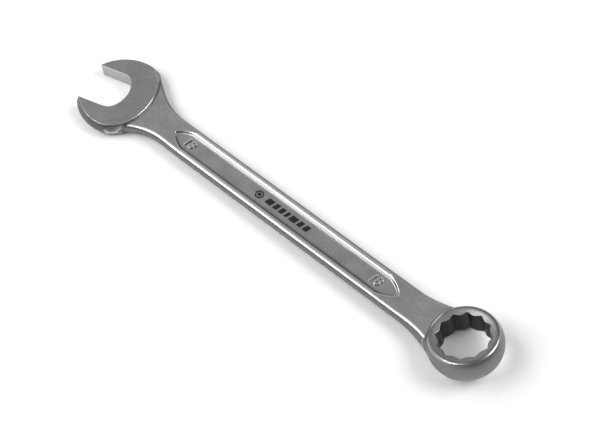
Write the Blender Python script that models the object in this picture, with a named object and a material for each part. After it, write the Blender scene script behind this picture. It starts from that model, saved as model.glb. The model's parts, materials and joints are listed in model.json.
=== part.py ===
"""Combination wrench, nominal size 18 mm.

One drop-forged steel body: an open-end head at one end, a shank with a recessed
panel on each face, and a twelve-point ring at the other end.  A small mark is
printed in black ink on the floor of the upper panel.

The model is drawn from the middle of the open end: +X runs along the shank to
the ring, +Y is across the shank, +Z is up, and Z = 0 is the shank's mid-plane.
At the end everything is carried by one empty, so that the origin of the world
lies under the middle of the wrench, on the surface that it rests on.
"""

from math import acos, asin, atan2, ceil, cos, hypot, pi, radians, sin, sqrt, tan

import bmesh
import bpy
from mathutils import Matrix, Vector

MM = 0.001

# Driving dimensions
NOMINAL_SIZE = 18.0 * MM
WORKING_CLEARANCE = 0.2 * MM
ACROSS_FLATS = NOMINAL_SIZE + WORKING_CLEARANCE
HEAD_TO_RING = 178.0 * MM

# Open-end head
MOUTH_ANGLE = radians(195.0)
HEAD_RADIUS = 19.2 * MM
HEAD_CENTRE = (1.9 * MM, 0.2 * MM)
HEAD_STRETCH = 1.05
HEAD_THICKNESS = 6.4 * MM
HEAD_DRAFT = 1.35 * MM
HEAD_EDGE = 0.3 * MM
STEP_RADIUS = 27.2 * MM
STEP_CENTRE = (14.3 * MM, 0.85 * MM)
THROAT_RADIUS = 11.8 * MM
THROAT_CENTRE = 11.4 * MM
TIP_START = 17.6 * MM
TIP_SLOPE = 0.8

# Shank
SHANK_HALF_WIDTH = 7.3 * MM
SHANK_HALF_THICKNESS = 2.4 * MM
SHANK_EDGE_RADIUS = 1.8 * MM
SHANK_BULGE = 0.1 * MM
FAR_FLARE = {"start": 28.0 * MM, "radius": 33.0 * MM, "slope": radians(33.0)}
NEAR_FLARE = {"start": 26.0 * MM, "radius": 26.0 * MM, "slope": radians(40.0)}
RING_FLARE = {"start": 152.5 * MM, "radius": 44.0 * MM, "slope": radians(18.0)}
SWELL_START = 150.0 * MM
SWELL_END = 170.0 * MM
SWELL = 1.5 * MM
INSET_IN_HEAD = 1.2 * MM
INSET_IN_RING = 0.6 * MM
RING_ENTRY = 169.0 * MM
STATION_STEP = 2.5 * MM
SHANK_BURIED_START = -3.0 * MM
SHANK_BURIED_END = 172.0 * MM

# Recessed panels
PANEL_START = 27.4 * MM
PANEL_END = 148.6 * MM
PANEL_HALF_WIDTH = 5.0 * MM
PANEL_FLOOR = 1.5 * MM
PANEL_WALL_RUN = 1.7 * MM
PANEL_NOSE_ANGLE = radians(36.0)
PANEL_SHOULDER = 4.0 * MM
PANEL_OVERSHOOT = 1.0 * MM

# Ring
RING_TILT = radians(-15.0)
RING_RISE = 3.0 * MM
RING_HALF_HEIGHT = 5.4 * MM
RING_RADIUS = 14.5 * MM
RING_BARREL = ((0.45, 14.25 * MM), (0.88, 13.5 * MM), (1.0, 12.6 * MM))
BORE_CHAMFER_RADIUS = 11.8 * MM
BORE_CHAMFER_SLOPE = 0.35
BORE_CHAMFER_DEPTH = 0.9 * MM
POINTS = 12

# Raised size numerals
NUMERAL_HEIGHT = 4.2 * MM
NUMERAL_STROKE = 0.75 * MM
NUMERAL_RISE = 0.35 * MM
NUMERAL_SLANT = radians(12.0)
NUMERAL_PLACES = (37.6 * MM, 136.6 * MM)
NUMERAL_GAP = 2.6 * MM
BOWL_NARROWING = 0.88
HOLE_OVERSHOOT = 1.2

# Printed mark
INK_THICKNESS = 0.15 * MM
INK_GAP = 0.03 * MM
BADGE_PLACE = 76.0 * MM
BADGE_RADIUS = 2.0 * MM
BADGE_LINE = 0.5 * MM
BADGE_DOT_RADIUS = 0.8 * MM
BADGE_DOT_SIDES = 12
BAR_WIDTHS = (2.9 * MM, 1.9 * MM, 1.9 * MM, 1.3 * MM, 3.1 * MM, 1.9 * MM, 2.1 * MM)
BARS_START = 80.2 * MM
BAR_GAP = 1.1 * MM
BAR_HEIGHT = 2.6 * MM
BAR_SLANT = radians(16.0)

# Fineness of the faceted solids
HEAD_STEPS = 40
STEP_STEPS = 20
THROAT_STEPS = 18
SHOULDER_STEPS = 6
BOWL_STEPS = 16
RING_SEGMENTS = 72
CORNER_STEPS = 4
BISECTIONS = 40
CUTTER_REACH = 12.0 * MM


def clear_scene():
    """Remove whatever objects the file opened with."""
    for thing in list(bpy.data.objects):
        bpy.data.objects.remove(thing, do_unlink=True)


def make_material(name, colour, roughness, metallic):
    """Return a Principled material."""
    material = bpy.data.materials.new(name)
    material.use_nodes = True
    shader = material.node_tree.nodes["Principled BSDF"]
    shader.inputs["Base Color"].default_value = (*colour, 1.0)
    shader.inputs["Roughness"].default_value = roughness
    shader.inputs["Metallic"].default_value = metallic
    material.diffuse_color = (*colour, 1.0)
    return material


def add_object(name, mesh, material=None):
    """Link a mesh into the scene as a named object."""
    thing = bpy.data.objects.new(name, mesh)
    bpy.context.scene.collection.objects.link(thing)
    if material is not None:
        mesh.materials.append(material)
    return thing


def skin(name, loops, closed=False):
    """Join loops of equal length into a closed mesh.

    The loops are stacked in order.  A closed stack joins its last loop to its
    first one, and an open stack is capped at both ends.
    """
    shape = bmesh.new()
    rows = [[shape.verts.new(point) for point in loop] for loop in loops]
    pairs = list(zip(rows, rows[1:]))
    if closed:
        pairs.append((rows[-1], rows[0]))
    for lower, upper in pairs:
        count = len(lower)
        for i in range(count):
            j = (i + 1) % count
            shape.faces.new((lower[i], lower[j], upper[j], upper[i]))
    if not closed:
        shape.faces.new(list(reversed(rows[0])))
        shape.faces.new(rows[-1])
    walls = [face for face in shape.faces if len(face.verts) == 4]
    bmesh.ops.triangulate(shape, faces=walls)
    bmesh.ops.recalc_face_normals(shape, faces=shape.faces)
    mesh = bpy.data.meshes.new(name)
    shape.to_mesh(mesh)
    shape.free()
    return mesh


def use_as_tool(target, tool, operation):
    """Join a helper shape to the body, or cut the body with it."""
    modifier = target.modifiers.new(tool.name, "BOOLEAN")
    modifier.operation = operation
    modifier.object = tool
    modifier.solver = "EXACT"
    tool.hide_render = True
    tool.display_type = "WIRE"


def arc(centre, radius, start, end, steps):
    """Return points on a circular arc in the plan, both ends included."""
    angles = [start + (end - start) * i / steps for i in range(steps + 1)]
    return [(centre[0] + radius * cos(a), centre[1] + radius * sin(a)) for a in angles]


def mouth_to_wrench(point):
    """Turn a plan point of the mouth, whose first axis leads out of it, into X and Y."""
    out, side = point
    return (out * cos(MOUTH_ANGLE) + side * sin(MOUTH_ANGLE),
            out * sin(MOUTH_ANGLE) - side * cos(MOUTH_ANGLE))


def levels(outline, heights):
    """Return one loop of the outline for each pair of inset and height."""
    return [[(*point, z) for point in outline(inset)] for inset, z in heights]


# ---------------------------------------------------------------- open end

def rim_point(radius, angle):
    """A point on the head's round outline, which is drawn out towards the jaw tips."""
    return (HEAD_CENTRE[0] + HEAD_STRETCH * radius * cos(angle),
            HEAD_CENTRE[1] + radius * sin(angle))


def from_step_centre(point):
    """Distance and direction of a plan point from the centre of the step's arc."""
    out = point[0] - STEP_CENTRE[0]
    side = point[1] - STEP_CENTRE[1]
    return hypot(out, side), atan2(side, out) % (2.0 * pi)


def rim_end(radius, step, side):
    """The angle at which the round outline runs into the step's arc."""
    inner, outer = radians(60.0) * side, radians(180.0) * side
    for _ in range(BISECTIONS):
        middle = (inner + outer) / 2.0
        if from_step_centre(rim_point(radius, middle))[0] < step:
            inner = middle
        else:
            outer = middle
    return inner


def head_outline(inset):
    """The head's round outline, cut off on its shank side by the arc of the step."""
    radius = HEAD_RADIUS - inset
    step = STEP_RADIUS - inset
    near = rim_end(radius, step, -1.0)
    far = rim_end(radius, step, 1.0)
    turns = [near + (far - near) * i / HEAD_STEPS for i in range(HEAD_STEPS + 1)]
    round_part = [rim_point(radius, turn) for turn in turns]
    start = from_step_centre(round_part[-1])[1]
    end = from_step_centre(round_part[0])[1]
    step_part = arc(STEP_CENTRE, step, start, end, STEP_STEPS)
    return [mouth_to_wrench(point) for point in round_part + step_part[1:-1]]


def make_head():
    """The thick disc of the open end, drafted towards both faces."""
    half = HEAD_THICKNESS / 2.0
    inset = HEAD_DRAFT + HEAD_EDGE
    heights = [(inset, -half), (HEAD_DRAFT, HEAD_EDGE - half), (0.0, 0.0),
               (HEAD_DRAFT, half - HEAD_EDGE), (inset, half)]
    return add_object("head_disc", skin("head_disc", levels(head_outline, heights)))


def make_mouth_cutter():
    """The parallel-sided mouth with its round throat, opening out at the jaw tips."""
    half = ACROSS_FLATS / 2.0
    reach = acos(half / THROAT_RADIUS)
    start = pi / 2.0 + reach
    throat = arc((THROAT_CENTRE, 0.0), THROAT_RADIUS, start, 2.0 * pi - start, THROAT_STEPS)
    front = TIP_START + CUTTER_REACH
    wide = half + TIP_SLOPE * CUTTER_REACH
    outline = [(front, wide), (TIP_START, half)] + throat + [(TIP_START, -half), (front, -wide)]
    outline = [mouth_to_wrench(point) for point in outline]
    loops = [[(*point, z) for point in outline] for z in (-CUTTER_REACH, CUTTER_REACH)]
    return add_object("mouth_cutter", skin("mouth_cutter", loops))


# ------------------------------------------------------------------- shank

def flare(distance, radius, slope):
    """Outward rise of an edge at a distance into a flare: an arc, then a straight."""
    if distance <= 0.0:
        return 0.0
    run = radius * sin(slope)
    if distance <= run:
        return radius - sqrt(radius ** 2 - distance ** 2)
    return radius * (1.0 - cos(slope)) + (distance - run) * tan(slope)


def chord(x, centre_x, radius):
    """Half width of a circle at x, or zero outside it."""
    return sqrt(max(0.0, radius ** 2 - (x - centre_x) ** 2))


def edge_width(x, head_flare, side):
    """Distance of one shank edge from the centre line at x."""
    width = SHANK_HALF_WIDTH
    width += flare(head_flare["start"] - x, head_flare["radius"], head_flare["slope"])
    width += flare(x - RING_FLARE["start"], RING_FLARE["radius"], RING_FLARE["slope"])
    centre_x, centre_y = mouth_to_wrench(HEAD_CENTRE)
    if x < head_flare["start"]:
        in_head = chord(x, centre_x, HEAD_RADIUS - INSET_IN_HEAD) + side * centre_y
        beyond_head = x > centre_x + HEAD_RADIUS * cos(head_flare["slope"])
        width = width if beyond_head else min(width, in_head)
    if x > RING_ENTRY:
        width = min(width, chord(x, HEAD_TO_RING, RING_RADIUS - INSET_IN_RING))
    return width


def half_thickness(x):
    """The shank swells smoothly in thickness where it runs into the ring."""
    t = min(1.0, max(0.0, (x - SWELL_START) / (SWELL_END - SWELL_START)))
    return SHANK_HALF_THICKNESS + SWELL * t * t * (3.0 - 2.0 * t)


def shank_section(x):
    """A rounded rectangle across the shank at x, its sides slightly bulged."""
    far = edge_width(x, FAR_FLARE, 1.0)
    near = edge_width(x, NEAR_FLARE, -1.0)
    thick = half_thickness(x)
    r = SHANK_EDGE_RADIUS
    quarter = [radians(90.0) * i / CORNER_STEPS for i in range(CORNER_STEPS + 1)]
    corner = [(r * (1.0 - cos(a)) + SHANK_BULGE, thick - r + r * sin(a)) for a in quarter]
    upper = [(far - dy, z) for dy, z in corner]
    upper += [(dy - near, z) for dy, z in reversed(corner)]
    lower = [(y, -z) for y, z in reversed(upper)]
    section = upper + [(-near, 0.0)] + lower + [(far, 0.0)]
    return [(x, y, z) for y, z in section]


def make_shank():
    """The shank, from inside the head to inside the ring."""
    length = SHANK_BURIED_END - SHANK_BURIED_START
    count = ceil(length / STATION_STEP)
    stations = [SHANK_BURIED_START + length * i / count for i in range(count + 1)]
    return add_object("shank", skin("shank", [shank_section(x) for x in stations]))


def panel_outline(inset):
    """A long panel with a pointed nose and rounded shoulders at each end."""
    half = PANEL_HALF_WIDTH - inset
    tip = PANEL_START + inset / sin(PANEL_NOSE_ANGLE)
    round_start = half / tan(PANEL_NOSE_ANGLE) + PANEL_SHOULDER * tan(PANEL_NOSE_ANGLE / 2.0)
    turns = [radians(90.0) + PANEL_NOSE_ANGLE * (1.0 - i / SHOULDER_STEPS)
             for i in range(SHOULDER_STEPS + 1)]
    shoulder = [(tip + round_start + PANEL_SHOULDER * cos(a), half + PANEL_SHOULDER * (sin(a) - 1.0))
                for a in turns]
    mirror = PANEL_START + PANEL_END
    upper = shoulder + [(mirror - x, y) for x, y in reversed(shoulder)]
    lower = [(x, -y) for x, y in reversed(upper)]
    return [(tip, 0.0)] + upper + [(mirror - tip, 0.0)] + lower


def make_panel_cutter(name, side):
    """The recess of one panel: a sloping wall down to a flat floor."""
    top = half_thickness(PANEL_START)
    slope = PANEL_WALL_RUN / (top - PANEL_FLOOR)
    above = top + PANEL_OVERSHOOT
    heights = [(PANEL_WALL_RUN, PANEL_FLOOR * side),
               (slope * (top - above), above * side)]
    return add_object(name, skin(name, levels(panel_outline, heights)))


# -------------------------------------------------------------------- ring

def ring_frame():
    """The ring's own frame: tilted about Y and raised above the mid-plane."""
    centre = Vector((HEAD_TO_RING, 0.0, RING_RISE))
    return Matrix.Translation(centre) @ Matrix.Rotation(RING_TILT, 4, "Y")


def circle(radius, z):
    """A circle at height z of the ring's frame, its corners clear of the star's."""
    turns = [2.0 * pi * (i + 0.5) / RING_SEGMENTS for i in range(RING_SEGMENTS)]
    return [(radius * cos(a), radius * sin(a), z) for a in turns]


def make_ring():
    """The ring's outer body: barrel-shaped, with a rounded shoulder."""
    upper = [(radius, share * RING_HALF_HEIGHT) for share, radius in RING_BARREL]
    lower = [(radius, -z) for radius, z in reversed(upper)]
    profile = lower + [(RING_RADIUS, 0.0)] + upper
    ring = add_object("ring", skin("ring", [circle(r, z) for r, z in profile]))
    ring.matrix_world = ring_frame()
    return ring


def make_bore_cutter():
    """A twelve-point star prism: two hexagons turned by half a flat."""
    half = ACROSS_FLATS / 2.0
    tip = half / cos(pi / 6.0)
    valley = half / cos(pi / POINTS)
    star = []
    for i in range(2 * POINTS):
        radius = valley if i % 2 else tip
        turn = pi * i / POINTS
        star.append((radius * cos(turn), radius * sin(turn)))
    loops = [[(*point, z) for point in star] for z in (-CUTTER_REACH, CUTTER_REACH)]
    cutter = add_object("bore_cutter", skin("bore_cutter", loops))
    cutter.matrix_world = ring_frame()
    return cutter


def make_chamfer_cutter(name, side):
    """The conical lead-in at one end of the bore."""
    low = RING_HALF_HEIGHT - BORE_CHAMFER_DEPTH
    high = RING_HALF_HEIGHT + BORE_CHAMFER_DEPTH
    run = BORE_CHAMFER_DEPTH / BORE_CHAMFER_SLOPE
    inner = BORE_CHAMFER_RADIUS - run
    outer = BORE_CHAMFER_RADIUS + run
    loops = [circle(inner, low * side), circle(outer, high * side)]
    cutter = add_object(name, skin(name, loops))
    cutter.matrix_world = ring_frame()
    return cutter


# ---------------------------------------------------------------- numerals

def numeral_frame(place, side):
    """Where a pair of numerals stands: upright on one face or turned to the other."""
    turn = Matrix.Rotation(0.0 if side > 0 else pi, 4, "X")
    slant = Matrix.Identity(4)
    slant[0][1] = tan(NUMERAL_SLANT)
    return Matrix.Translation(Vector((place, 0.0, 0.0))) @ turn @ slant


def bowl_circle(centre_y, radius):
    """One bowl of the figure eight, a little narrower than it is tall."""
    turns = [2.0 * pi * i / BOWL_STEPS for i in range(BOWL_STEPS)]
    middle = NUMERAL_GAP / 2.0
    return [(middle + BOWL_NARROWING * radius * cos(a), centre_y + radius * sin(a))
            for a in turns]


def raised_prism(name, outline, low, frame):
    """An upright prism from a low height up to the numerals' top."""
    high = PANEL_FLOOR + NUMERAL_RISE
    loops = [[(*point, z) for point in outline] for z in (low, high)]
    prism = add_object(name, skin(name, loops))
    prism.data.transform(frame)
    return prism


def make_eight(tag, frame):
    """The figure eight: two overlapping bowls, each with a hole."""
    radius = (NUMERAL_HEIGHT + NUMERAL_STROKE) / 4.0
    offset = NUMERAL_HEIGHT / 2.0 - radius
    waist = asin(offset / radius)
    turns = [2.0 * (waist + pi / 2.0) * i / BOWL_STEPS - waist for i in range(BOWL_STEPS + 1)]
    middle = NUMERAL_GAP / 2.0
    head = [(middle + BOWL_NARROWING * radius * cos(a), offset + radius * sin(a)) for a in turns]
    foot = [(2.0 * middle - x, -y) for x, y in head]
    sunk = PANEL_FLOOR - NUMERAL_RISE
    eight = raised_prism(f"eight_{tag}", head + foot[1:-1], sunk, frame)
    for name, centre_y in (("upper", offset), ("lower", -offset)):
        hole = bowl_circle(centre_y, radius - NUMERAL_STROKE)
        low = sunk - NUMERAL_RISE
        cutter = raised_prism(f"{name}_hole_{tag}", hole, low, frame)
        cutter.scale.z = HOLE_OVERSHOOT
        use_as_tool(eight, cutter, "DIFFERENCE")
    return eight


def make_one(tag, frame):
    """The figure one: a plain raised stroke."""
    half = NUMERAL_HEIGHT / 2.0
    left = -(NUMERAL_GAP + NUMERAL_STROKE) / 2.0
    right = left + NUMERAL_STROKE
    outline = [(left, -half), (right, -half), (right, half), (left, half)]
    return raised_prism(f"one_{tag}", outline, PANEL_FLOOR - NUMERAL_RISE, frame)


def make_numerals():
    """The size, 18, raised near both ends of both panels."""
    strokes = []
    for face, side in (("upper", 1), ("lower", -1)):
        for i, place in enumerate(NUMERAL_PLACES, start=1):
            frame = numeral_frame(place, side)
            strokes.append(make_one(f"{face}_{i}", frame))
            strokes.append(make_eight(f"{face}_{i}", frame))
    return strokes


# ------------------------------------------------------------ forged body

def make_forged_body(steel):
    """The whole forging: head, shank and ring in one solid."""
    body = make_shank()
    body.name = "forged_body"
    body.data.materials.append(steel)
    for tool in (make_head(), make_ring()):
        use_as_tool(body, tool, "UNION")
    cutters = [make_mouth_cutter(), make_bore_cutter()]
    for name, side in (("upper", 1), ("lower", -1)):
        cutters.append(make_chamfer_cutter(f"{name}_chamfer_cutter", side))
        cutters.append(make_panel_cutter(f"{name}_panel_cutter", side))
    for tool in cutters:
        use_as_tool(body, tool, "DIFFERENCE")
    for tool in make_numerals():
        use_as_tool(body, tool, "UNION")
    return body


# ------------------------------------------------------------ printed mark

def ink_levels():
    """The underside and top of an ink film on the upper panel's floor."""
    low = PANEL_FLOOR + INK_GAP
    return low, low + INK_THICKNESS


def hexagon(radius):
    """A hexagon around the badge's middle, one corner forward."""
    turns = [radians(60.0) * i for i in range(6)]
    return [(BADGE_PLACE + radius * cos(a), radius * sin(a)) for a in turns]


def make_badge(ink):
    """A hexagonal line with a dot in its middle."""
    low, high = ink_levels()
    outer = hexagon(BADGE_RADIUS)
    inner = hexagon(BADGE_RADIUS - BADGE_LINE)
    loops = [[(*p, low) for p in outer], [(*p, high) for p in outer],
             [(*p, high) for p in inner], [(*p, low) for p in inner]]
    marks = [add_object("ink_hexagon", skin("ink_hexagon", loops, closed=True), ink)]
    turns = [2.0 * pi * i / BADGE_DOT_SIDES for i in range(BADGE_DOT_SIDES)]
    dot = [(BADGE_PLACE + BADGE_DOT_RADIUS * cos(a), BADGE_DOT_RADIUS * sin(a)) for a in turns]
    loops = [[(*p, z) for p in dot] for z in (low, high)]
    marks.append(add_object("ink_dot", skin("ink_dot", loops), ink))
    return marks


def make_bars(ink):
    """A row of slanted bars after the badge."""
    low, high = ink_levels()
    half = BAR_HEIGHT / 2.0
    lean = half * tan(BAR_SLANT)
    marks = []
    left = BARS_START
    for i, width in enumerate(BAR_WIDTHS, start=1):
        right = left + width
        bar = [(left - lean, -half), (right - lean, -half),
               (right + lean, half), (left + lean, half)]
        loops = [[(*p, z) for p in bar] for z in (low, high)]
        name = f"ink_bar_{i}"
        marks.append(add_object(name, skin(name, loops), ink))
        left = right + BAR_GAP
    return marks


# ----------------------------------------------------------------- placing

def evaluated_bounds(thing):
    """Lowest and highest corner of an object with its modifiers applied."""
    graph = bpy.context.evaluated_depsgraph_get()
    mesh = thing.evaluated_get(graph).to_mesh()
    points = [thing.matrix_world @ vertex.co for vertex in mesh.vertices]
    low = Vector([min(p[i] for p in points) for i in range(3)])
    high = Vector([max(p[i] for p in points) for i in range(3)])
    return low, high


def stand_on_origin(body):
    """Carry everything on one empty, with the world origin under the middle."""
    bpy.context.view_layer.update()
    low, high = evaluated_bounds(body)
    holder = bpy.data.objects.new("wrench_origin", None)
    bpy.context.scene.collection.objects.link(holder)
    for thing in list(bpy.data.objects):
        if thing is not holder:
            thing.parent = holder
    middle = (low + high) / 2.0
    holder.location = (-middle.x, -middle.y, -low.z)


def main():
    clear_scene()
    steel = make_material("chrome_plated_steel", (0.50, 0.51, 0.49), 0.38, 1.0)
    ink = make_material("black_ink", (0.012, 0.012, 0.013), 0.6, 0.0)
    body = make_forged_body(steel)
    make_badge(ink)
    make_bars(ink)
    stand_on_origin(body)


main()
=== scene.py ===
"""Combination wrench, 18 mm, lying on a pale floor under soft studio light.

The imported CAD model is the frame.  Its forged body is shown by one fine mesh,
contoured from a distance function in numpy that holds the fillets, the rolled
edges and the panel walls.  The raised numerals are four more such meshes.  The
ink films keep their CAD solids and get their own material.

Shape functions work in millimetres in the wrench's own coordinates: the origin
is the middle of the open end, +X leads to the ring, +Z leads up out of the
upper panel.  The frame's mounts say where that origin is in the row frame.
"""

import json
from math import cos, hypot, pi, radians, sin, tan

import bpy
import numpy as np
from mathutils import Matrix, Vector


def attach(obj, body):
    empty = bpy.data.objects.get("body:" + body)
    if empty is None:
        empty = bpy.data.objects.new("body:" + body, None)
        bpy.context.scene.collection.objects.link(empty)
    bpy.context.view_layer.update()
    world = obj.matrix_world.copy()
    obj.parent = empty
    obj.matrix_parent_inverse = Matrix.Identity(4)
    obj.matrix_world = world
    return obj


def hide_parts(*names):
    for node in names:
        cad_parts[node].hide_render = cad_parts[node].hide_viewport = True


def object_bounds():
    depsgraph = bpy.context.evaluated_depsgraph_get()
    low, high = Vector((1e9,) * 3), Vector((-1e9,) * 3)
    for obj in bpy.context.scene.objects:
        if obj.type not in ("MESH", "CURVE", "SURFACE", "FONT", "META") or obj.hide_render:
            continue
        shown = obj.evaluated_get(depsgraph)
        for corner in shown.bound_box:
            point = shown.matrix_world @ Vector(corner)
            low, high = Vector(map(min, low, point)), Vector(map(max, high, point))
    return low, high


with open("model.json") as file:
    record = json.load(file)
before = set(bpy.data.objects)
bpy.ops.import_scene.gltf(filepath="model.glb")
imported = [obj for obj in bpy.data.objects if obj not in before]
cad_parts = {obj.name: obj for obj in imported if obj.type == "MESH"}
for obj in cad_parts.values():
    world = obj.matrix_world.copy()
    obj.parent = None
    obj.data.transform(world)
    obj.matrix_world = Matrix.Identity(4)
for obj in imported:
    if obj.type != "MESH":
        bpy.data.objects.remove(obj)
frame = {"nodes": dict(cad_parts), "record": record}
cad_low, cad_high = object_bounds()

MM = 0.001

# Open-end head
MOUTH_ANGLE = radians(195.0)
JAW_MOUNT_REACH = 12.0
HEAD_RADIUS = 19.15
HEAD_CENTRE = (1.9, 0.2)
HEAD_HALF_THICKNESS = 3.2
HEAD_STRETCH = 1.05
HEAD_DRAFT = 0.62
HEAD_PARTING = 1.5
HEAD_EDGE = 0.18
STEP_RADIUS = 25.7
STEP_CENTRE = (14.3, 0.85)
STEP_SLOPE = 0.4
STEP_HEIGHT = 0.8
STEP_CORNER = 1.0
STEP_TOP_CORNER = 3.6
STEP_FILLET = 0.4
THROAT_RADIUS = 11.8
THROAT_CENTRE = 11.4
THROAT_CORNER = 1.6
TIP_START = 17.6
TIP_SLOPE = 0.8
JAW_EDGE = 0.3

# Shank
SHANK_HALF_WIDTH = 7.3
SHANK_HALF_THICKNESS = 2.4
SHANK_EDGE = 1.9
WAIST = 0.2
WAIST_START = 26.0
WAIST_END = 36.0
SWELL_START = 150.0
SWELL_END = 170.0
SWELL = 1.5
NECK_INSET = 0.4
NECK_CLEAR = 8.0
SHANK_START = -3.0
SHANK_END = 172.0

# Flares of the necks: where each starts, the radius of its arc, and its last slope
FAR_FLARE = (28.0, 33.0, radians(33.0))
NEAR_FLARE = (26.0, 26.0, radians(40.0))
RING_FLARE = (152.5, 44.0, radians(18.0))

# Panels
PANEL_START = 28.0
PANEL_END = 147.9
PANEL_HALF_WIDTH = 5.0
PANEL_FLOOR = 1.5
PANEL_NOSE_ANGLE = radians(38.0)
PANEL_NOSE_SOFTNESS = 1.0
PANEL_SHOULDER = 2.0
PANEL_SIDE_SLOPE = 1.9
PANEL_NOSE_SLOPE = 0.15
PANEL_FILLET = 0.3
PANEL_RIM = 0.25

# Ring
RING_TILT = radians(-15.0)
RING_MOUNT_RADIUS = 12.2
RING_HALF_HEIGHT = 5.4
RING_RADIUS = 14.45
RING_CROWN = 1.45
RING_EDGE = 0.65
RING_FILLET = 0.9
BORE_CHAMFER = 11.8
CHAMFER_SLOPE = 0.35
BORE_POINT_ROUNDING = 0.2
BORE_EDGE = 0.2

# Numerals
NUMERAL_PLACES = (37.6, 135.9)
NUMERAL_SLANT = tan(radians(12.0))
NUMERAL_RISE = 0.7
NUMERAL_STROKE = 0.5
NUMERAL_DRAFT = 0.08
NUMERAL_EDGE = 0.1
FIGURE_GAP = 1.3
ONE_HALF_HEIGHT = 1.7
BOWL_RADIUS = 0.85
BOWL_NARROWING = 0.95

# How bright the plate is, as reflectance: each finish's own tone, with painted shade on walls,
# rim, annulus, bore and numeral walls
FORGED_TONE = 0.33
SIDE_FINISH_AND_SHADE = 0.2
PANEL_WALL_FINISH_AND_SHADE = 0.2
NUMERAL_WALL_PAINTED_SHADE = 0.05
GROUND_TONE = 0.29
HEAD_WALL_FINISH_AND_SHADE = 0.145
HEAD_RIM_PAINTED_SHADE = 0.08
JAW_TONE = 0.46
RING_WALL_FINISH_AND_SHADE = 0.165
ANNULUS_PAINTED_SHADE = 0.19
BORE_PAINTED_SHADE = 0.06
CHAMFER_TONE = 0.28

# How much of the polish of worn edges the head keeps
HEAD_POLISH = 0.08

# Where one finish, or one band of painted shade, gives way to the next
HEAD_END = 12.5
STEP_REACH = 1.5
SIDE_WIDTH = 5.9
SIDE_FROM = 0.15
SIDE_TO = 0.7
NUMERAL_WALL_TOP = 0.2
RING_START = 165.0
RING_POLISH_START = 12.9

# How near to a shape, and how far below a head's flat face, a point still counts as on it
TOUCHING = 0.1
FACE_SKIN = 0.02

# Plate: sizes of its noise in features per metre, and what the noise does
NOISE_MIDDLE = (0.3, 0.7)
GRAIN_SCALE = 1700.0
GRAIN_SHARPNESS = 0.7
GRAIN_CONTRAST = (0.8, 1.2)
GRAIN_HEIGHT = 0.00005
PATCH_SCALE = 160.0
PATCH_CONTRAST = (0.92, 1.08)
PATCH_TINTS = ((1.0, 1.0, 0.95), (0.97, 1.0, 0.99))
SATIN_ROUGHNESS = (0.34, 0.42)
POLISHED_ROUGHNESS = 0.16
POLISHED_TONE = 0.68

# Ink
INK_SCALE = 3000.0
INK_COLOURS = ((0.006, 0.006, 0.007), (0.03, 0.03, 0.03))
INK_ROUGHNESS = (0.45, 0.7)
INK_SPECULAR = 0.12
INK_HEIGHT = 0.00002
INK_BUMP = 0.5

# Floor, in metres
FLOOR_HALF_SIZE = 3.0
FLOOR_SCALE = 8.0
FLOOR_COLOURS = ((0.92, 0.92, 0.92), (0.94, 0.94, 0.94))
FLOOR_ROUGHNESS = 0.9

# Studio light: a dim surround with one bright side, above and beyond the open end
BRIGHT_SIDE = (-0.75, 0.30, 0.60)
SURROUND_FROM = 0.55
SURROUND_TO = 1.0
SURROUND_DIM = 0.2
SURROUND_BRIGHT = 0.74
SURROUND_COLOUR = (0.98, 1.0, 0.99, 1.0)

# Softboxes: direction from the wrench, size in metres, power in watts
SOFTBOX_DISTANCE = 1.0
SOFTBOXES = {"near_softbox": ((-0.374, -0.55, 0.75), 0.60, 6.5),
             "left_softbox": ((-0.66, -0.17, 0.73), 0.25, 1.0),
             "far_softbox": ((0.48, 0.48, 0.73), 0.55, 5.0)}

# Camera: its direction as seen from the wrench, its roll, and its distance in metres
CAMERA_AZIMUTH = radians(44.754)
CAMERA_ELEVATION = radians(57.868)
CAMERA_ROLL = radians(-3.767)
CAMERA_DISTANCE = 0.468
CAMERA_TARGET = (94.7, 0.4, 0.0)
SENSOR_WIDTH = 36.0
FOCAL_LENGTH = 72.55
NEAREST_IN_VIEW = 0.01

# Grids of the contoured meshes: stretches of X, Y and Z with their spacing
BODY_GRID = (((-21.9, 13.0, 0.36), (13.0, 28.0, 0.6), (28.0, 42.0, 0.3), (42.0, 132.0, 1.2),
              (132.0, 150.0, 0.3), (150.0, 162.0, 0.5), (162.0, 193.6, 0.36)),
             ((-20.6, -7.8, 0.4), (-7.8, 7.8, 0.26), (7.8, 20.0, 0.4)),
             ((-6.4, -3.6, 0.36), (-3.6, 3.6, 0.2), (3.6, 12.4, 0.36)))
NUMERAL_REACH = 3.4
NUMERAL_SPACING = 0.1

# Contouring: how points are found on the surface, and how proud edges are
BISECTIONS = 14
NORMAL_REACH = 0.02
MIDDLE_PULL = 0.05
POLISH_REACH = 0.25
POLISH_GAIN = 0.5
NEIGHBOURS = 6
SHORTEST_NORMAL = 1e-9


# ------------------------------------------------------------ frame's sizes

mounts = {m["name"]: Vector(m["pos_m"]) for m in frame["record"]["mounts"]}
jaw_gap = mounts["far_jaw_face"] - mounts["near_jaw_face"]
half_flats = jaw_gap.length / MM / 2.0
mouth_direction = Vector((cos(MOUTH_ANGLE), sin(MOUTH_ANGLE), 0.0))
jaw_middle = (mounts["far_jaw_face"] + mounts["near_jaw_face"]) / 2.0
wrench_origin = jaw_middle - mouth_direction * JAW_MOUNT_REACH * MM
ring_side = Vector((0.0, RING_MOUNT_RADIUS * MM, 0.0))
ring_middle = (mounts["ring_upper_face"] + mounts["ring_lower_face"]) / 2.0 - ring_side
ring_centre = (ring_middle - wrench_origin) / MM


# ------------------------------------------------------------ solid shapes

def round_and(a, b, radius):
    """What two solids share, with the edge between them rounded."""
    corner = np.hypot(np.maximum(a + radius, 0.0), np.maximum(b + radius, 0.0))
    return np.minimum(np.maximum(a, b), -radius) + corner


def round_or(a, b, radius):
    """Two solids together, with a fillet where they meet."""
    return -round_and(-a, -b, radius)


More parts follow.
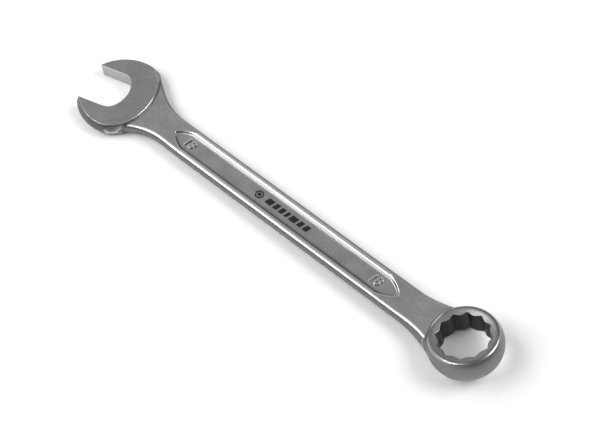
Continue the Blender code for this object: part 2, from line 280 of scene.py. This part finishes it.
def flare(distance, radius, slope):
    """Outward rise of an edge at a distance into a flare: an arc, then a straight."""
    run = radius * sin(slope)
    curved = np.clip(distance, 0.0, run)
    straight = np.maximum(distance - run, 0.0)
    return radius - np.sqrt(radius ** 2 - curved ** 2) + straight * tan(slope)


def mouth_coordinates(x, y):
    """Distances out of the mouth and across it."""
    out = x * cos(MOUTH_ANGLE) + y * sin(MOUTH_ANGLE)
    across = x * sin(MOUTH_ANGLE) - y * cos(MOUTH_ANGLE)
    return out, across


def ring_coordinates(x, z):
    """Distances along and up in the ring's tilted frame."""
    dx = x - ring_centre.x
    dz = z - ring_centre.z
    along = dx * cos(RING_TILT) - dz * sin(RING_TILT)
    up = dx * sin(RING_TILT) + dz * cos(RING_TILT)
    return along, up


def head_disc(out, across, z):
    """The head's round outline, drawn out towards the jaw tips, widest at mid-height."""
    reach = np.hypot((out - HEAD_CENTRE[0]) / HEAD_STRETCH, across - HEAD_CENTRE[1])
    return reach - HEAD_RADIUS + HEAD_DRAFT * (np.hypot(z, HEAD_PARTING) - HEAD_PARTING)


def step_arc(out, across):
    """The arc of the step between the thick head and the neck."""
    return np.hypot(out - STEP_CENTRE[0], across - STEP_CENTRE[1]) - STEP_RADIUS


def head_solid(out, across, z):
    """The thick disc of the open end, cut off by the step."""
    drop = np.minimum(HEAD_HALF_THICKNESS - np.abs(z), STEP_HEIGHT)
    step = step_arc(out, across) - STEP_SLOPE * drop
    corner = STEP_CORNER + (STEP_TOP_CORNER - STEP_CORNER) * np.abs(z) / HEAD_HALF_THICKNESS
    wall = round_and(head_disc(out, across, z), step, corner)
    return round_and(wall, np.abs(z) - HEAD_HALF_THICKNESS, HEAD_EDGE)


def mouth_void(out, across):
    """The parallel-sided mouth with its round throat."""
    round_end = np.hypot(out - THROAT_CENTRE, across) - THROAT_RADIUS
    depth = np.minimum(round_end, THROAT_CENTRE - out)
    width = np.abs(across) - half_flats - np.maximum(out - TIP_START, 0.0) * TIP_SLOPE
    return round_and(width, depth, THROAT_CORNER)


def ease(x, start, end):
    """A smooth rise from zero to one between two places."""
    t = np.clip((x - start) / (end - start), 0.0, 1.0)
    return t * t * (3.0 - 2.0 * t)


def half_thickness(x):
    """The shank swells smoothly in thickness where it runs into the ring."""
    return SHANK_HALF_THICKNESS + SWELL * ease(x, SWELL_START, SWELL_END)


def shank_solid(x, y, z, out, across):
    """The shank and its two flared necks, with rolled edges."""
    far = flare(FAR_FLARE[0] - x, *FAR_FLARE[1:])
    near = flare(NEAR_FLARE[0] - x, *NEAR_FLARE[1:])
    waist = WAIST * (1.0 - ease(x, WAIST_START, WAIST_END))
    width = SHANK_HALF_WIDTH + np.where(y > 0.0, far, near - waist)
    width = width + flare(x - RING_FLARE[0], *RING_FLARE[1:])
    bar = round_and(np.abs(y) - width, np.abs(z) - half_thickness(x), SHANK_EDGE)
    within_head = head_disc(out, across, z) + NECK_INSET
    bar = np.maximum(bar, np.minimum(within_head, NECK_CLEAR - x))
    return np.maximum(bar, np.maximum(SHANK_START - x, x - SHANK_END))


def panel_void(x, y, z):
    """The recess of a panel: sloping side walls and a steeper pointed nose at each end."""
    depth = SHANK_HALF_THICKNESS - np.abs(z)
    side = np.abs(y) - PANEL_HALF_WIDTH + PANEL_SIDE_SLOPE * depth
    side = side / hypot(PANEL_SIDE_SLOPE, 1.0)
    from_middle = np.abs(x - (PANEL_START + PANEL_END) / 2.0)
    beyond = from_middle - (PANEL_END - PANEL_START) / 2.0
    soft_y = np.hypot(y, PANEL_NOSE_SOFTNESS) * cos(PANEL_NOSE_ANGLE)
    nose = beyond * sin(PANEL_NOSE_ANGLE) + soft_y + PANEL_NOSE_SLOPE * depth
    nose = nose / hypot(PANEL_NOSE_SLOPE, 1.0)
    wall = round_and(side, nose, PANEL_SHOULDER)
    return round_and(wall, PANEL_FLOOR - np.abs(z), PANEL_FILLET)


def ring_solid(along, y, up):
    """The ring's outer body, slightly crowned, with rolled edges."""
    crown = RING_RADIUS - RING_CROWN * (up / RING_HALF_HEIGHT) ** 2
    wall = np.hypot(along, y) - crown
    return round_and(wall, np.abs(up) - RING_HALF_HEIGHT, RING_EDGE)


def hexagon(a, b, turn):
    """A hexagonal hole, the size across flats, turned by an angle."""
    sides = []
    for i in range(3):
        direction = turn + radians(60.0) * i
        sides.append(np.abs(a * cos(direction) + b * sin(direction)))
    return np.maximum(np.maximum(sides[0], sides[1]), sides[2]) - half_flats


def bore_cone(from_axis, up):
    """The shallow conical lead-in at each end of the bore."""
    depth = RING_HALF_HEIGHT - np.abs(up)
    return ((from_axis - BORE_CHAMFER) * CHAMFER_SLOPE + depth) / hypot(CHAMFER_SLOPE, 1.0)


def bore_void(along, y, up):
    """Twelve points from two hexagons, with a conical lead-in at each end."""
    star = round_or(hexagon(along, y, 0.0), hexagon(along, y, radians(30.0)),
                    BORE_POINT_ROUNDING)
    return np.minimum(star, bore_cone(np.hypot(along, y), up))


def numeral_distance(x, y, z):
    """The size, 18, standing on a panel floor at the origin, upright along +Y."""
    a = x - NUMERAL_SLANT * y
    beyond = np.maximum(np.abs(y) - ONE_HALF_HEIGHT, 0.0)
    line = np.hypot(a + FIGURE_GAP, beyond)
    for side in (-1.0, 1.0):
        bowl = np.hypot((a - FIGURE_GAP) / BOWL_NARROWING, y - side * BOWL_RADIUS)
        line = np.minimum(line, np.abs(bowl - BOWL_RADIUS))
    wall = line - NUMERAL_STROKE + NUMERAL_DRAFT * z
    height = np.abs(z) - NUMERAL_RISE
    return round_and(wall, height, NUMERAL_EDGE)


def wrench_distance(x, y, z):
    """Signed distance to the whole forging, negative inside the metal."""
    out, across = mouth_coordinates(x, y)
    along, up = ring_coordinates(x, z)
    body = round_or(head_solid(out, across, z), shank_solid(x, y, z, out, across), STEP_FILLET)
    body = round_or(body, ring_solid(along, y, up), RING_FILLET)
    body = round_and(body, -mouth_void(out, across), JAW_EDGE)
    body = round_and(body, -bore_void(along, y, up), BORE_EDGE)
    return round_and(body, -panel_void(x, y, z), PANEL_RIM)


# -------------------------------------------------------- contouring a mesh

def spaced(stretches):
    """Grid positions along one axis, with its own spacing in each stretch."""
    values = []
    for start, end, step in stretches:
        count = max(1, round((end - start) / step))
        values.append(np.linspace(start, end, count, endpoint=False))
    values.append(np.array([stretches[-1][1]]))
    return np.concatenate(values)


def surface_points(distance, low, high):
    """Where the surface crosses each grid edge, by bisection."""
    low_inside = distance(*low.T) < 0.0
    for _ in range(BISECTIONS):
        middle = (low + high) / 2.0
        same = (distance(*middle.T) < 0.0) == low_inside
        low = np.where(same[:, None], middle, low)
        high = np.where(same[:, None], high, middle)
    return (low + high) / 2.0


def gradient(distance, points):
    """Unit normals of the distance function, by central differences."""
    slopes = []
    for axis in range(3):
        step = np.zeros(3)
        step[axis] = NORMAL_REACH
        slopes.append(distance(*(points + step).T) - distance(*(points - step).T))
    normals = np.stack(slopes, axis=1)
    return normals / np.maximum(np.linalg.norm(normals, axis=1, keepdims=True),
                                SHORTEST_NORMAL)


def crossed_edges(inside, axis):
    """Index of the lower end of each grid edge, along an axis, that the surface crosses."""
    lower = [slice(None)] * 3
    upper = [slice(None)] * 3
    lower[axis] = slice(0, -1)
    upper[axis] = slice(1, None)
    return np.argwhere(inside[tuple(lower)] != inside[tuple(upper)])


def cells_around(edges, axis, shape):
    """The four cells around each edge, in turning order."""
    b = (axis + 1) % 3
    c = (axis + 2) % 3
    cells = []
    for back_b, back_c in ((1, 1), (0, 1), (0, 0), (1, 0)):
        cell = edges.copy()
        cell[:, b] -= back_b
        cell[:, c] -= back_c
        cells.append(np.ravel_multi_index(cell.T, shape))
    return np.stack(cells, axis=1)


def fit_vertices(quads, points, normals, count):
    """One vertex for each cell, as close as it can be to the planes at its crossings."""
    cell = quads.ravel()
    p = np.repeat(points, 4, axis=0)
    n = np.repeat(normals, 4, axis=0)

    def total(values):
        """The sum of the values in each cell."""
        return np.bincount(cell, weights=values, minlength=count)

    hits = total(np.ones(len(cell)))
    middle = np.stack([total(p[:, i]) for i in range(3)], axis=1) / hits[:, None]
    height = np.einsum("ij,ij->i", n, p - middle[cell])
    matrix = np.empty((count, 3, 3))
    side = np.empty((count, 3))
    for i in range(3):
        side[:, i] = total(n[:, i] * height)
        for j in range(3):
            matrix[:, i, j] = total(n[:, i] * n[:, j])
    matrix += MIDDLE_PULL * hits[:, None, None] * np.eye(3)
    return middle + np.linalg.solve(matrix, side[:, :, None])[:, :, 0]


def dual_contour(distance, axes):
    """Vertices and quads of the surface where the distance function is zero."""
    field = distance(*np.meshgrid(*axes, indexing="ij"))
    inside = field < 0.0
    shape = tuple(len(values) - 1 for values in axes)
    quads = []
    points = []
    for axis in range(3):
        edges = crossed_edges(inside, axis)
        low = np.stack([axes[i][edges[:, i]] for i in range(3)], axis=1)
        high = low.copy()
        high[:, axis] = axes[axis][edges[:, axis] + 1]
        around = cells_around(edges, axis, shape)
        outward = inside[tuple(edges.T)]
        quads.append(np.where(outward[:, None], around, around[:, ::-1]))
        points.append(surface_points(distance, low, high))
    quads = np.concatenate(quads)
    points = np.concatenate(points)
    cells, quads = np.unique(quads, return_inverse=True)
    quads = quads.reshape(-1, 4)
    vertices = fit_vertices(quads, points, gradient(distance, points), len(cells))
    corner = np.stack(np.unravel_index(cells, shape), axis=1)
    low = np.stack([axes[i][corner[:, i]] for i in range(3)], axis=1)
    high = np.stack([axes[i][corner[:, i] + 1] for i in range(3)], axis=1)
    return np.clip(vertices, low, high), quads


# -------------------------------------------- finish from place to place

def edge_polish(distance, points):
    """How much each point stands proud: one on sharp outer edges, zero on flats."""
    bend = -NEIGHBOURS * distance(*points.T)
    for axis in range(3):
        for side in (-POLISH_REACH, POLISH_REACH):
            step = np.zeros(3)
            step[axis] = side
            bend += distance(*(points + step).T)
    return np.clip(bend / POLISH_REACH ** 2 * POLISH_GAIN, 0.0, 1.0)


def side_walls(x, y, z, head):
    """How much each point belongs to the shank's and necks' side walls, from zero to one."""
    beside = (np.abs(y) > SIDE_WIDTH) & ~head & (x < RING_START)
    return beside * ease(half_thickness(x) - np.abs(z), SIDE_FROM, SIDE_TO)


def shank_tones(x, y, z, side):
    """Satin faces, side and panel walls darker partly as forged finish and partly as painted
    shade, and painted shade on the walls of the raised numerals.
    """
    tones_and_shade = np.full(len(x), FORGED_TONE)
    from_panel = panel_void(x, y, z)
    above_floor = np.abs(z) > PANEL_FLOOR + PANEL_RIM
    # Panel walls: darker partly as forged finish, partly as painted shade
    tones_and_shade[(np.abs(from_panel) < TOUCHING) & above_floor] = PANEL_WALL_FINISH_AND_SHADE
    # Side walls: darker partly as forged finish, partly as painted shade
    tones_and_shade = tones_and_shade + (SIDE_FINISH_AND_SHADE - tones_and_shade) * side
    # Numeral walls: painted shade between the raised strokes
    below_top = np.abs(z) < PANEL_FLOOR + NUMERAL_RISE - NUMERAL_WALL_TOP
    tones_and_shade[(from_panel < -TOUCHING) & below_top] = NUMERAL_WALL_PAINTED_SHADE
    return tones_and_shade


def tone_ring(tones_and_shade, ring, from_axis, up):
    """A wall darker partly as forged finish and partly as painted shade, painted shade on the
    flat annulus and in the bore, and the bore's brighter lead-ins.
    """
    at_wall = np.abs(up) < RING_HALF_HEIGHT - RING_EDGE
    at_face = np.abs(up) > RING_HALF_HEIGHT - RING_EDGE
    in_bore = ring & (from_axis < BORE_CHAMFER)
    # Ring wall: darker partly as forged finish, partly as painted shade
    tones_and_shade[ring & at_wall] = RING_WALL_FINISH_AND_SHADE
    # Annulus: painted shade on the ring's flat faces
    tones_and_shade[ring & at_face] = ANNULUS_PAINTED_SHADE
    # Bore: painted shade deep in the bore
    tones_and_shade[in_bore] = BORE_PAINTED_SHADE
    tones_and_shade[in_bore & (bore_cone(from_axis, up) < TOUCHING)] = CHAMFER_TONE


def tone_head(tones_and_shade, head, away_from_step, from_face, in_mouth):
    """Walls darker partly as forged finish and partly as painted shade, machined jaws, ground
    faces, and painted shade on the rim around them.
    """
    at_rim = (from_face > FACE_SKIN) & (from_face < 2.0 * HEAD_EDGE)
    # Head walls: darker partly as forged finish, partly as painted shade
    tones_and_shade[head] = HEAD_WALL_FINISH_AND_SHADE
    tones_and_shade[head & in_mouth] = JAW_TONE
    tones_and_shade[head & (from_face < HEAD_EDGE)] = GROUND_TONE
    # Head rim: painted shade in place of the highlight its rounded edge would catch
    tones_and_shade[away_from_step & ~in_mouth & at_rim] = HEAD_RIM_PAINTED_SHADE


def surface_tones(points):
    """How bright the plate is from place to place, painted shade included, and where its edges
    are worn bright.
    """
    x, y, z = points.T
    out, across = mouth_coordinates(x, y)
    along, up = ring_coordinates(x, z)
    from_axis = np.hypot(along, y)
    from_step = step_arc(out, across)
    head = (x < HEAD_END) & (from_step < STEP_HEIGHT)
    away_from_step = head & (np.abs(from_step) > STEP_REACH)
    ring = (x > RING_START) & (from_axis < RING_RADIUS + RING_FILLET)
    side = side_walls(x, y, z, head)
    tones_and_shade = shank_tones(x, y, z, side)
    tone_ring(tones_and_shade, ring, from_axis, up)
    tone_head(tones_and_shade, head, away_from_step, HEAD_HALF_THICKNESS - np.abs(z),
              mouth_void(out, across) < TOUCHING)
    polishable = np.where(away_from_step, HEAD_POLISH, 1.0 - side)
    return tones_and_shade, np.where(ring & (from_axis < RING_POLISH_START), 0.0, polishable)


# ------------------------------------------------------------------ pieces

def make_piece(name, distance, grid, to_wrench):
    """Contour a solid on its own grid and place it in the row frame, in metres."""
    points, quads = dual_contour(distance, [spaced(stretches) for stretches in grid])
    normals = gradient(distance, points)
    turn = np.array(to_wrench)
    placed = points @ turn[:3, :3].T + turn[:3, 3]
    mesh = bpy.data.meshes.new(name)
    mesh.from_pydata((placed * MM + np.array(wrench_origin)).tolist(), [], quads.tolist())
    mesh.polygons.foreach_set("use_smooth", np.ones(len(quads), bool))
    mesh.normals_split_custom_set_from_vertices((normals @ turn[:3, :3].T).tolist())
    tones_and_shade, polishable = surface_tones(placed)
    # The tone attribute holds the plate's own tones together with the painted shade
    for key, values in (("polish", edge_polish(distance, points) * polishable),
                        ("tone_and_shade", tones_and_shade)):
        layer = mesh.attributes.new(key, "FLOAT", "POINT")
        layer.data.foreach_set("value", values.astype(np.float32))
    mesh.update()
    piece = bpy.data.objects.new(name, mesh)
    bpy.context.scene.collection.objects.link(piece)
    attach(piece, "root")
    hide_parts("forged_body")
    return piece


def make_numerals():
    """The size near both ends of both panels, turned over on the lower one."""
    stretch = ((-NUMERAL_REACH, NUMERAL_REACH, NUMERAL_SPACING),)
    heights = ((-NUMERAL_RISE - 2.0 * NUMERAL_SPACING, NUMERAL_RISE + 2.0 * NUMERAL_SPACING,
                NUMERAL_SPACING),)
    pieces = []
    for face, turn in (("upper", 0.0), ("lower", pi)):
        flip = Matrix.Rotation(turn, 4, "X")
        rise = Matrix.Translation((0.0, 0.0, PANEL_FLOOR))
        for i, place in enumerate(NUMERAL_PLACES, start=1):
            to_wrench = Matrix.Translation((place, 0.0, 0.0)) @ flip @ rise
            name = f"raised_18_{face}_{i}"
            pieces.append(make_piece(name, numeral_distance, (stretch, stretch, heights),
                                     to_wrench))
    return pieces


# --------------------------------------------------------------- materials

class Nodes:
    """Short calls for building a material's node tree."""

    def __init__(self, name):
        self.material = bpy.data.materials.new(name)
        self.material.use_nodes = True
        self.tree = self.material.node_tree
        self.shader = self.tree.nodes["Principled BSDF"]
        self.place = self.add("ShaderNodeTexCoord").outputs["Object"]

    def add(self, kind, **settings):
        """A new node with its settings."""
        node = self.tree.nodes.new(kind)
        for key, value in settings.items():
            setattr(node, key, value)
        return node

    def link(self, source, target):
        """Set a socket to a number, or link it to another node's output."""
        if isinstance(source, (int, float)):
            target.default_value = source
        else:
            self.tree.links.new(source, target)

    def noise(self, scale, detail, rough=0.55):
        """Noise of a size given in features per metre."""
        node = self.add("ShaderNodeTexNoise")
        node.inputs["Scale"].default_value = scale
        node.inputs["Detail"].default_value = detail
        node.inputs["Roughness"].default_value = rough
        self.link(self.place, node.inputs["Vector"])
        return node.outputs["Fac"]

    def math(self, operation, a, b):
        """Arithmetic on two values."""
        node = self.add("ShaderNodeMath", operation=operation)
        self.link(a, node.inputs[0])
        self.link(b, node.inputs[1])
        return node.outputs[0]

    def spread(self, noise, low, high):
        """Noise with the middle of its range stretched to run between two values."""
        node = self.add("ShaderNodeMapRange")
        self.link(noise, node.inputs["Value"])
        for key, number in (("From Min", NOISE_MIDDLE[0]), ("From Max", NOISE_MIDDLE[1]),
                            ("To Min", low), ("To Max", high)):
            node.inputs[key].default_value = number
        return node.outputs["Result"]

    def mix_number(self, factor, a, b):
        """A number that goes from a to b as the factor rises."""
        node = self.add("ShaderNodeMix", data_type="FLOAT")
        self.link(factor, node.inputs[0])
        self.link(a, node.inputs[2])
        self.link(b, node.inputs[3])
        return node.outputs[0]

    def mix_colour(self, factor, a, b):
        """A colour that goes from a to b as the factor rises."""
        node = self.add("ShaderNodeMix", data_type="RGBA")
        self.link(factor, node.inputs[0])
        node.inputs[6].default_value = (*a, 1.0)
        node.inputs[7].default_value = (*b, 1.0)
        return node.outputs[2]

    def attribute(self, name):
        """A value stored on the mesh's points."""
        return self.add("ShaderNodeAttribute", attribute_name=name).outputs["Fac"]

    def bump(self, height, distance, strength):
        """A fine relief of a height given in metres."""
        node = self.add("ShaderNodeBump")
        node.inputs["Distance"].default_value = distance
        self.link(strength, node.inputs["Strength"])
        self.link(height, node.inputs["Height"])
        return node.outputs["Normal"]


def steel_material():
    """Satin nickel-chrome plate: fine blasted grain, ground faces and polished edges, and the
    painted shade carried by the point tones.
    """
    n = Nodes("satin_plated_steel")
    polish = n.attribute("polish")
    tone_and_shade = n.attribute("tone_and_shade")
    grain = n.noise(GRAIN_SCALE, detail=4.0, rough=GRAIN_SHARPNESS)
    patches = n.noise(PATCH_SCALE, detail=4.0)
    mottle = n.math("MULTIPLY", n.spread(patches, *PATCH_CONTRAST),
                    n.spread(grain, *GRAIN_CONTRAST))
    tone_and_shade = n.mix_number(polish, n.math("MULTIPLY", tone_and_shade, mottle), POLISHED_TONE)
    tint = n.mix_colour(patches, *PATCH_TINTS)
    plate = n.add("ShaderNodeVectorMath", operation="SCALE")
    n.link(tint, plate.inputs[0])
    n.link(tone_and_shade, plate.inputs["Scale"])
    n.link(plate.outputs["Vector"], n.shader.inputs["Base Color"])
    n.shader.inputs["Metallic"].default_value = 1.0
    roughness = n.mix_number(polish, n.spread(patches, *SATIN_ROUGHNESS), POLISHED_ROUGHNESS)
    n.link(roughness, n.shader.inputs["Roughness"])
    satin = n.math("SUBTRACT", 1.0, polish)
    n.link(n.bump(grain, GRAIN_HEIGHT, satin), n.shader.inputs["Normal"])
    return n.material


def ink_material():
    """Black printed ink, a little uneven and worn."""
    n = Nodes("printed_black_ink")
    wear = n.noise(INK_SCALE, detail=3.0)
    n.link(n.mix_colour(wear, *INK_COLOURS), n.shader.inputs["Base Color"])
    n.link(n.spread(wear, *INK_ROUGHNESS), n.shader.inputs["Roughness"])
    n.shader.inputs["Specular IOR Level"].default_value = INK_SPECULAR
    n.link(n.bump(wear, INK_HEIGHT, INK_BUMP), n.shader.inputs["Normal"])
    return n.material


def floor_material():
    """A matt pale surface with a barely visible texture."""
    n = Nodes("pale_floor")
    texture = n.noise(FLOOR_SCALE, detail=2.0)
    n.link(n.mix_colour(texture, *FLOOR_COLOURS), n.shader.inputs["Base Color"])
    n.shader.inputs["Roughness"].default_value = FLOOR_ROUGHNESS
    return n.material


# ------------------------------------------------------ floor, light, camera

def to_row(x, y, z):
    """A point of the wrench's own coordinates, in the row frame."""
    return wrench_origin + Vector((x, y, z)) * MM


def make_floor(forging):
    """The floor touches the forging's lowest point, on the ring, and the tips of the jaws."""
    foot = min((vertex.co for vertex in forging.data.vertices), key=lambda point: point.z)
    head_under = wrench_origin.z - HEAD_HALF_THICKNESS * MM
    slope = (foot.z - head_under) / (foot.x - cad_low.x)
    points = []
    for side_x, side_y in ((-1, -1), (1, -1), (1, 1), (-1, 1)):
        x = side_x * FLOOR_HALF_SIZE
        points.append((x, side_y * FLOOR_HALF_SIZE, foot.z + slope * (x - foot.x)))
    mesh = bpy.data.meshes.new("floor")
    mesh.from_pydata(points, [], [(0, 1, 2, 3)])
    mesh.materials.append(floor_material())
    floor = bpy.data.objects.new("floor", mesh)
    bpy.context.scene.collection.objects.link(floor)


def add_softbox(name, direction, size, power):
    """A soft square light that faces the middle of the wrench."""
    data = bpy.data.lights.new(name, "AREA")
    data.shape = "SQUARE"
    data.size = size
    data.energy = power
    lamp = bpy.data.objects.new(name, data)
    bpy.context.scene.collection.objects.link(lamp)
    lamp.location = Vector(direction).normalized() * SOFTBOX_DISTANCE
    lamp.rotation_euler = Vector(direction).normalized().to_track_quat("Z", "Y").to_euler()


def make_surround():
    """A surround that dims smoothly away from its bright side."""
    world = bpy.data.worlds.new("studio")
    world.use_nodes = True
    tree = world.node_tree
    background = tree.nodes["Background"]
    background.inputs["Color"].default_value = SURROUND_COLOUR
    place = tree.nodes.new("ShaderNodeTexCoord")
    facing = tree.nodes.new("ShaderNodeVectorMath")
    facing.operation = "DOT_PRODUCT"
    facing.inputs[1].default_value = Vector(BRIGHT_SIDE).normalized()
    level = tree.nodes.new("ShaderNodeMapRange")
    level.interpolation_type = "SMOOTHSTEP"
    level.inputs["From Min"].default_value = SURROUND_FROM
    level.inputs["From Max"].default_value = SURROUND_TO
    level.inputs["To Min"].default_value = SURROUND_DIM
    level.inputs["To Max"].default_value = SURROUND_BRIGHT
    tree.links.new(place.outputs["Generated"], facing.inputs[0])
    tree.links.new(facing.outputs["Value"], level.inputs["Value"])
    tree.links.new(level.outputs["Result"], background.inputs["Strength"])
    bpy.context.scene.world = world


def make_lights():
    """Plain soft studio light: the surround and three softboxes."""
    bpy.context.scene.view_settings.view_transform = "Standard"
    make_surround()
    for name, (direction, size, power) in SOFTBOXES.items():
        add_softbox(name, direction, size, power)


def make_camera():
    """A camera that looks down on the wrench from its near side, beyond the ring."""
    level = cos(CAMERA_ELEVATION)
    back = Vector((sin(CAMERA_AZIMUTH) * level, -cos(CAMERA_AZIMUTH) * level,
                   sin(CAMERA_ELEVATION)))
    right = Vector((cos(CAMERA_AZIMUTH), sin(CAMERA_AZIMUTH), 0.0))
    up = back.cross(right)
    tilted_right = right * cos(CAMERA_ROLL) + up * sin(CAMERA_ROLL)
    tilted_up = up * cos(CAMERA_ROLL) - right * sin(CAMERA_ROLL)
    data = bpy.data.cameras.new("camera")
    data.sensor_width = SENSOR_WIDTH
    data.lens = FOCAL_LENGTH
    data.clip_start = NEAREST_IN_VIEW
    camera = bpy.data.objects.new("camera", data)
    bpy.context.scene.collection.objects.link(camera)
    basis = Matrix((tilted_right, tilted_up, back)).transposed().to_4x4()
    place = to_row(*CAMERA_TARGET) + back * CAMERA_DISTANCE
    camera.matrix_world = Matrix.Translation(place) @ basis
    bpy.context.scene.camera = camera


# ------------------------------------------------------------------- scene

make_camera()
steel = steel_material()
forging = make_piece("forged_steel", wrench_distance, BODY_GRID, Matrix.Identity(4))
for piece in [forging] + make_numerals():
    piece.data.materials.append(steel)

ink = ink_material()
for name, node in frame["nodes"].items():
    if name.startswith("ink_"):
        node.data.materials.clear()
        node.data.materials.append(ink)

make_floor(forging)
make_lights()
